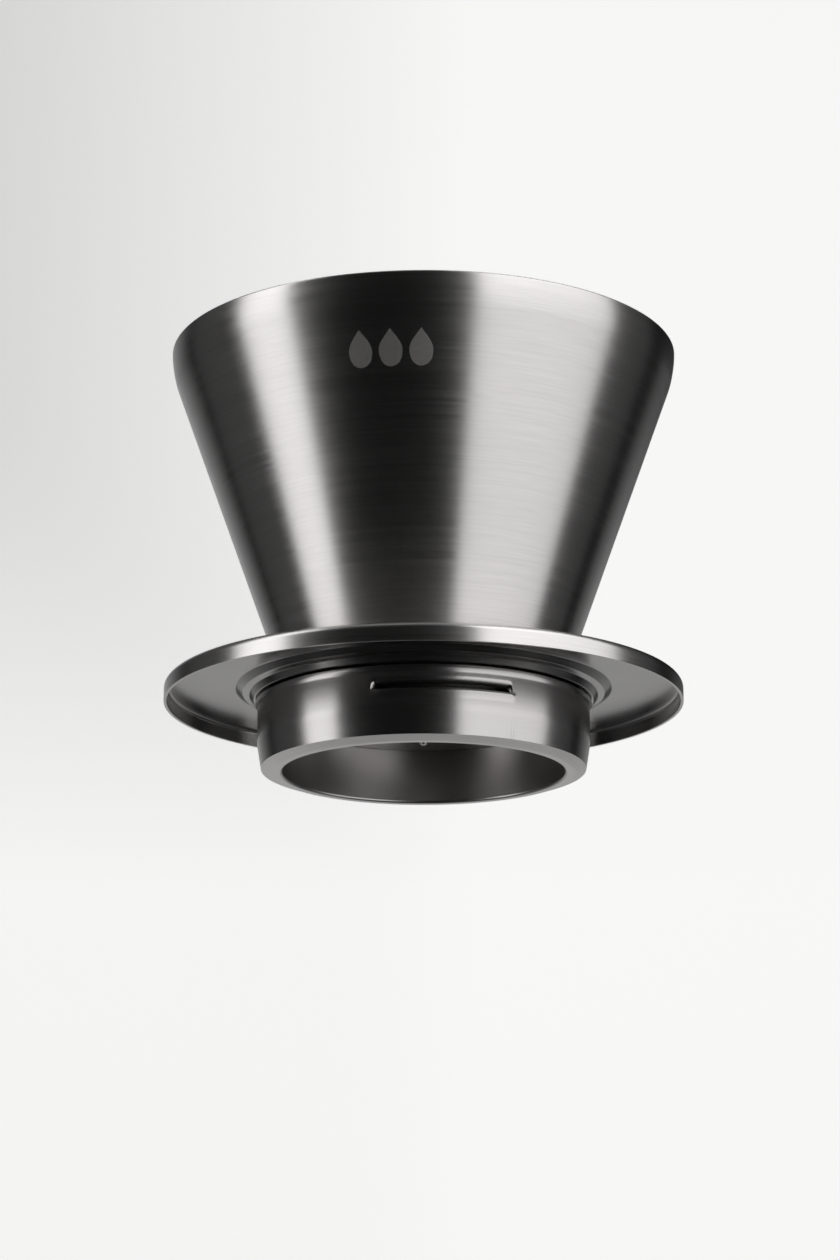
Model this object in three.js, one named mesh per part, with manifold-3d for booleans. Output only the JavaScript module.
// Pour over dripper in pressed and brushed stainless steel, in millimetres, +Z up.
// The base of the neck stands at z = 0, the axis is Z, and the front of the dripper faces -Y.
// Every piece is a sheet pressing turned about Z, except the drip tip, which is a turned pin.
import * as THREE from "three";
import { mergeVertices } from "three/addons/utils/BufferGeometryUtils.js";
import Module from "manifold-3d";

const wasm = await Module();
wasm.setup();

// ---------------------------------------------------------------- driving dimensions

const ROUND = 48; // facets round a full turn
const ARC_STEP = 45; // degrees of bend for each facet of a rounded corner
const LONG_BEND = 10; // a bend of this radius or more gets three facets
const FIT_GAP = 0.3; // clearance left where two pieces touch

const CUP_SHEET = 0.7; // wall of the outer shell and the liner
const BASE_SHEET = 0.6; // wall of the saucer, the neck and the drain plate

const HEIGHT = 93.5; // neck base to rim
const RIM_RADIUS = 55;
const RIM_TURN = 20; // radius that brings the cone's slope round to the upright rim
const RIM_ROLL = 1.2; // radius over the top of the rim
const RIM_LAND = 53; // inner edge of the flat land on top of the rim
const FOOT_BEND = 1.5; // bend between the cone and the foot
const CONE_SLOPE = 0.358; // radius gained for each millimetre of height
const CONE_RADIUS = 29.8; // at SAUCER_TOP
const DOUBLE_WALL = 4.3; // shell's outside to the liner's outside, measured level
const FLOOR_BEND = 3; // between the liner's floor and its cone
const FLARE_BEND = 1; // between the liner's cone and its flared rim

const SAUCER_RADIUS = 55.5;
const SAUCER_TOP = 19.1;
const SAUCER_LIP = 4; // height of the turned down edge
const SAUCER_BEND = 0.8;
const SEAT_RADIUS = 34.9; // edge of the saucer's seat on the neck
const LEDGE = { inner: 35.6, outer: 36.3, z: 15.7 }; // lowest ring of the boss, round the neck's top
const GROOVE = { inner: 37.3, innerZ: 16.95, outer: 38.7, outerZ: 17.3 }; // sloping ring above it
const BOSS_RADIUS = 40.3; // where the boss meets the flat plate
const LEDGE_BEND = 0.3;
const BOSS_BEND = 0.5;

const NECK_RADIUS = 35.5;
const NECK_TOP = 16;
const NECK_SHOULDER = 1.6; // bend between the neck's wall and its top
const NECK_EDGE_RADIUS = 34.64; // the neck draws in to this at its base
const NECK_EDGE_Z = 0.91;
const NECK_DRAW = 4.5; // height over which it draws in
const NECK_DRAW_BEND = 12;
const BORE_RADIUS = 30.1; // inside of the neck
const BORE_FOOT_BEND = 0.6; // from the bore round to the ring that the dripper stands on
const RING_RADIUS = 32; // the ring's flat ends here and slopes up to the neck's edge
const RING_BEND = 1.5;
const FLANGE_RADIUS = 27.5; // inner edge of the sleeve's flange over the drain plate
const CEILING_Z = 11.9; // underside of the drain plate, seen up the bore
const DISH = { inner: 9, outer: 16, depth: 1.3, bend: 1 }; // the plate's sunk middle

const SPIGOT_RADIUS = 23.3; // the shell's foot is drawn down through the saucer and the neck
const SPIGOT_END = 13.7;
const SPIGOT_BEND = 0.8;

const VENT_FROM = -18; // the vent slot's ends, degrees round from the front towards +X
const VENT_TO = 31;
const VENT_LIP_Z = 10.3; // sheared lower lip of the slot
const VENT_CREST_Z = 13; // where the metal above the slot starts to fold inward
const VENT_BEND = 1.5;
const VENT_DEPTH = 1.85; // how far in the fold reaches

const FLOOR_HOLES = [
  // rings of drain holes in the liner's floor: how many, on what radius, and each hole's radius
  { count: 1, ring: 0, radius: 2 },
  { count: 6, ring: 8, radius: 2 },
  { count: 12, ring: 15.5, radius: 1.6 },
];
const BUMPS = { count: 6, ring: 11.8, radius: 1.5, rise: 0.8 }; // keep the paper off the floor
const PLATE_HOLES = { count: 6, ring: 6, radius: 2.1 };
const PLATE_VENTS = { count: 5, ring: 25.4, radius: 1.3, from: -14, to: 27 };

const TIP_END = 6.3;
const TIP_SHANK = 1.5;
const TIP_POINT = { radius: 0.7, rise: 0.2 }; // small flat that the drop hangs from
const TIP_NOSE = { radius: 1.1, rise: 0.9 };
const TIP_COLLAR = { radius: 2.6, height: 0.6 };
const TIP_HEAD = { radius: 3.2, edge: 0.6, crown: 2.2, crownZ: 1.1, height: 1.2 };

// ---------------------------------------------------------------- derived places

const coneRadius = (z) => CONE_RADIUS + CONE_SLOPE * (z - SAUCER_TOP);
const coneHeight = (r) => SAUCER_TOP + (r - CONE_RADIUS) / CONE_SLOPE;
const saucerSeat = NECK_TOP + FIT_GAP; // underside of the saucer where it lies on the neck
const shellFoot = saucerSeat + BASE_SHEET + FIT_GAP;
const linerFloor = shellFoot + CUP_SHEET + FIT_GAP;
const linerRadius = (z) => coneRadius(z) - DOUBLE_WALL;
const plateUnderside = SAUCER_TOP - BASE_SHEET;
const stackHole = SPIGOT_RADIUS + 1.5 * FIT_GAP; // hole in the saucer and in the neck's top
const dishUnderside = CEILING_Z - DISH.depth;

// ---------------------------------------------------------------- sheet metal helpers

// Points along a bent line given by its corners [r, z, bend radius], each with its left normal.
function bentLine(corners) {
  const at = (i) => new THREE.Vector2(corners[i][0], corners[i][1]);
  const left = (d) => new THREE.Vector2(-d.y, d.x);
  const points = [];
  corners.forEach(([, , bend = 0], i) => {
    const here = at(i);
    const before = i > 0 ? here.clone().sub(at(i - 1)).normalize() : null;
    const after = i < corners.length - 1 ? at(i + 1).sub(here).normalize() : null;
    if (!before || !after) {
      points.push({ place: here, normal: left(before ?? after) });
      return;
    }
    const turn = Math.atan2(before.cross(after), before.dot(after));
    const side = Math.sign(turn);
    const tangent = bend * Math.tan(Math.abs(turn) / 2);
    const centre = here
      .clone()
      .addScaledVector(before, -tangent)
      .addScaledVector(left(before), side * bend);
    const fewest = bend >= LONG_BEND ? 3 : 1;
    const degrees = THREE.MathUtils.radToDeg(Math.abs(turn));
    const steps = bend ? Math.max(fewest, Math.round(degrees / ARC_STEP)) : 0;
    for (let k = 0; k <= steps; k++) {
      const share = steps ? k / steps : 0.5;
      const normal = left(before).rotateAround(new THREE.Vector2(), turn * share);
      const place = steps ? centre.clone().addScaledVector(normal, -side * bend) : here.clone();
      points.push({ place, normal });
    }
  });
  return points;
}

// Closed outline of a sheet whose face follows the bent line, with its thickness to the left.
function sheetOutline(corners, thickness) {
  const line = bentLine(corners);
  const back = line.map(({ place, normal }) => place.clone().addScaledVector(normal, thickness));
  return [...line.map(({ place }) => place), ...back.reverse()];
}

// An outline of [radius, height] points turned about Z.
function turned(outline) {
  const closed = outline[0].x === 0 && outline.at(-1).x === 0 ? outline : [...outline, outline[0]];
  return new THREE.LatheGeometry(closed, ROUND).rotateX(Math.PI / 2);
}

const turnedSheet = (corners, thickness) => turned(sheetOutline(corners, thickness));

// ---------------------------------------------------------------- cutting and joining

function solidOf(geometry) {
  const bare = geometry.clone();
  bare.deleteAttribute("normal");
  bare.deleteAttribute("uv");
  const merged = mergeVertices(bare, 1e-4);
  return new wasm.Manifold(
    new wasm.Mesh({
      numProp: 3,
      vertProperties: merged.attributes.position.array,
      triVerts: new Uint32Array(merged.index.array),
    }),
  );
}

function geometryOf(solid) {
  const mesh = solid.getMesh();
  const geometry = new THREE.BufferGeometry();
  geometry.setAttribute("position", new THREE.BufferAttribute(mesh.vertProperties, 3));
  geometry.setIndex(new THREE.BufferAttribute(mesh.triVerts, 1));
  geometry.computeVertexNormals();
  return geometry;
}

// A point on a ring, degrees round from the front (-Y) towards +X.
function onRing(ring, degrees) {
  const angle = THREE.MathUtils.degToRad(degrees);
  return [ring * Math.sin(angle), -ring * Math.cos(angle)];
}

// The wedge of space between two directions, as wide as the whole dripper.
function wedge(from, to) {
  const reach = 2 * RIM_RADIUS;
  const shape = new THREE.Shape();
  shape.moveTo(0, 0);
  shape.lineTo(...onRing(reach, from));
  shape.lineTo(...onRing(reach, to));
  return solidOf(new THREE.ExtrudeGeometry(shape, { depth: HEIGHT, bevelEnabled: false }));
}

// A round peg about the given place, upright, from one height to another.
function peg(radius, [x, y], low, high) {
  const geometry = new THREE.CylinderGeometry(radius, radius, high - low, 12).rotateX(Math.PI / 2);
  return solidOf(geometry.translate(x, y, (low + high) / 2));
}

// ---------------------------------------------------------------- pieces

// The outside of the cup: foot drawn down into a spigot, straight cone, upright rim rolled inward.
function outerShell() {
  return turnedSheet(
    [
      [SPIGOT_RADIUS, SPIGOT_END],
      [SPIGOT_RADIUS, shellFoot, SPIGOT_BEND],
      [coneRadius(shellFoot), shellFoot, FOOT_BEND],
      [RIM_RADIUS, coneHeight(RIM_RADIUS), RIM_TURN],
      [RIM_RADIUS, HEIGHT, RIM_ROLL],
      [RIM_LAND, HEIGHT],
    ],
    CUP_SHEET,
  );
}

// The cup that holds the paper: flat floor with drain holes and bumps, cone, rim flared outward.
function innerLiner() {
  const flare = HEIGHT - CUP_SHEET;
  const cup = turnedSheet(
    [
      [0, linerFloor],
      [linerRadius(linerFloor), linerFloor, FLOOR_BEND],
      [linerRadius(flare), flare, FLARE_BEND],
      [RIM_LAND - FIT_GAP, flare],
    ],
    CUP_SHEET,
  );
  let liner = solidOf(cup);
  const floorTop = linerFloor + CUP_SHEET;
  const sphere = (BUMPS.radius ** 2 + BUMPS.rise ** 2) / (2 * BUMPS.rise);
  for (let i = 0; i < BUMPS.count; i++) {
    const [x, y] = onRing(BUMPS.ring, (360 * (i + 0.5)) / BUMPS.count);
    const middle = floorTop + BUMPS.rise - sphere;
    const ball = solidOf(new THREE.SphereGeometry(sphere, 16, 12).translate(x, y, middle));
    const slice = peg(2 * sphere, [x, y], linerFloor + CUP_SHEET / 3, HEIGHT);
    liner = liner.add(ball.intersect(slice));
  }
  for (const { count, ring, radius } of FLOOR_HOLES)
    for (let i = 0; i < count; i++) {
      const place = onRing(ring, (360 * i) / count);
      liner = liner.subtract(peg(radius, place, linerFloor - 1, floorTop + 1));
    }
  return geometryOf(liner);
}

// The drip saucer: flat plate with a turned down lip, and a stepped boss pressed down round the neck.
function saucer() {
  return turnedSheet(
    [
      [stackHole, saucerSeat],
      [SEAT_RADIUS, saucerSeat, LEDGE_BEND],
      [LEDGE.inner, LEDGE.z, LEDGE_BEND],
      [LEDGE.outer, LEDGE.z, BOSS_BEND],
      [GROOVE.inner, GROOVE.innerZ, BOSS_BEND],
      [GROOVE.outer, GROOVE.outerZ, BOSS_BEND],
      [BOSS_RADIUS, plateUnderside, BOSS_BEND],
      [SAUCER_RADIUS - BASE_SHEET, plateUnderside, SAUCER_BEND],
      [SAUCER_RADIUS - BASE_SHEET, SAUCER_TOP - SAUCER_LIP],
    ],
    BASE_SHEET,
  );
}

// The outside of the neck, closed at the top, with one long louvre that vents the hollow neck.
function neckSkirt() {
  const edge = NECK_EDGE_Z + BASE_SHEET + FIT_GAP;
  const wall = turnedSheet(
    [
      [NECK_EDGE_RADIUS, edge],
      [NECK_RADIUS, edge + NECK_DRAW, NECK_DRAW_BEND],
      [NECK_RADIUS, NECK_TOP, NECK_SHOULDER],
      [stackHole, NECK_TOP],
    ],
    BASE_SHEET,
  );
  const ring = (...points) => solidOf(turned(points.map(([r, z]) => new THREE.Vector2(r, z))));
  const inner = NECK_RADIUS - VENT_DEPTH;
  const foldZ = VENT_CREST_Z - VENT_BEND; // underside of the folded sheet
  const outer = NECK_RADIUS + VENT_BEND;
  const window = ring(
    [inner, VENT_LIP_Z],
    [outer, VENT_LIP_Z],
    [outer, VENT_CREST_Z],
    [inner, VENT_CREST_Z],
  );
  const onBend = (radius, degrees) => {
    const [across, up] = onRing(radius, degrees);
    return [NECK_RADIUS - VENT_BEND + across, VENT_CREST_Z + up];
  };
  const innerBend = VENT_BEND - BASE_SHEET;
  const fold = ring(
    [inner, foldZ],
    onBend(VENT_BEND, 0),
    onBend(VENT_BEND, 45),
    onBend(VENT_BEND, 90),
    [NECK_RADIUS, VENT_CREST_Z + BASE_SHEET / 4],
    [NECK_RADIUS - BASE_SHEET, VENT_CREST_Z + BASE_SHEET / 4],
    onBend(innerBend, 90),
    onBend(innerBend, 45),
    onBend(innerBend, 0),
    [inner, foldZ + BASE_SHEET],
  );
  const cheek = ring(
    [inner, foldZ],
    [NECK_RADIUS, foldZ],
    [NECK_RADIUS, VENT_CREST_Z],
    [inner, VENT_CREST_Z],
  );
  const half = THREE.MathUtils.radToDeg(BASE_SHEET / NECK_RADIUS);
  const skirt = solidOf(wall)
    .subtract(window.intersect(wedge(VENT_FROM, VENT_TO)))
    .add(fold.intersect(wedge(VENT_FROM, VENT_TO)))
    .add(cheek.intersect(wedge(VENT_FROM - half, VENT_FROM + half)))
    .add(cheek.intersect(wedge(VENT_TO - half, VENT_TO + half)));
  return geometryOf(skirt);
}

// The inside of the neck: flange at the top over the drain plate, bore, and the ring it stands on.
function neckSleeve() {
  const flange = CEILING_Z + BASE_SHEET + FIT_GAP;
  return turnedSheet(
    [
      [FLANGE_RADIUS, flange],
      [BORE_RADIUS, flange, FIT_GAP],
      [BORE_RADIUS, 0, BORE_FOOT_BEND],
      [RING_RADIUS, 0, RING_BEND],
      [NECK_EDGE_RADIUS, NECK_EDGE_Z],
    ],
    BASE_SHEET,
  );
}

// The dished plate that gathers the drips, with vents behind the louvre.
function drainPlate() {
  let plate = solidOf(
    turnedSheet(
      [
        [TIP_SHANK + FIT_GAP, dishUnderside],
        [DISH.inner, dishUnderside, DISH.bend],
        [DISH.outer, CEILING_Z, DISH.bend],
        [BORE_RADIUS - FIT_GAP, CEILING_Z],
      ],
      BASE_SHEET,
    ),
  );
  const drill = (radius, place) => {
    const through = peg(radius, place, dishUnderside - 1, CEILING_Z + BASE_SHEET + 1);
    plate = plate.subtract(through);
  };
  for (let i = 0; i < PLATE_HOLES.count; i++)
    drill(PLATE_HOLES.radius, onRing(PLATE_HOLES.ring, (360 * i) / PLATE_HOLES.count));
  for (let i = 0; i < PLATE_VENTS.count; i++) {
    const share = i / (PLATE_VENTS.count - 1);
    const degrees = THREE.MathUtils.lerp(PLATE_VENTS.from, PLATE_VENTS.to, share);
    drill(PLATE_VENTS.radius, onRing(PLATE_VENTS.ring, degrees));
  }
  return geometryOf(plate);
}

// The pin in the middle of the drain plate that the coffee runs down and drips from.
function dripTip() {
  const under = dishUnderside - FIT_GAP;
  const above = dishUnderside + BASE_SHEET + FIT_GAP;
  const outline = [
    [0, TIP_END],
    [TIP_POINT.radius, TIP_END + TIP_POINT.rise],
    [TIP_NOSE.radius, TIP_END + TIP_NOSE.rise],
    [TIP_COLLAR.radius, under - TIP_COLLAR.height],
    [TIP_COLLAR.radius, under],
    [TIP_SHANK, under],
    [TIP_SHANK, above],
    [TIP_HEAD.radius, above],
    [TIP_HEAD.radius, above + TIP_HEAD.edge],
    [TIP_HEAD.crown, above + TIP_HEAD.crownZ],
    [0, above + TIP_HEAD.height],
  ];
  const points = outline.map(([r, z]) => new THREE.Vector2(r, z));
  return new THREE.LatheGeometry(points, ROUND / 2).rotateX(Math.PI / 2);
}

// ---------------------------------------------------------------- assembly

const steel = (color, roughness) =>
  new THREE.MeshStandardMaterial({ color, metalness: 1, roughness });
const brushedSteel = steel(0xb4b2b1, 0.32);
const linerSteel = steel(0xbdbbba, 0.28);
const satinSteel = steel(0xa8a6a5, 0.4);

const PIECES = [
  { name: "outer_shell", shape: outerShell(), material: brushedSteel },
  { name: "inner_liner", shape: innerLiner(), material: linerSteel },
  { name: "saucer", shape: saucer(), material: satinSteel },
  { name: "neck_skirt", shape: neckSkirt(), material: brushedSteel },
  { name: "neck_sleeve", shape: neckSleeve(), material: satinSteel },
  { name: "drain_plate", shape: drainPlate(), material: satinSteel },
  { name: "drip_tip", shape: dripTip(), material: satinSteel },
];

const dripper = new THREE.Group();
for (const { name, shape, material } of PIECES) {
  const mesh = new THREE.Mesh(shape, material);
  mesh.name = name;
  dripper.add(mesh);
}

export default dripper;
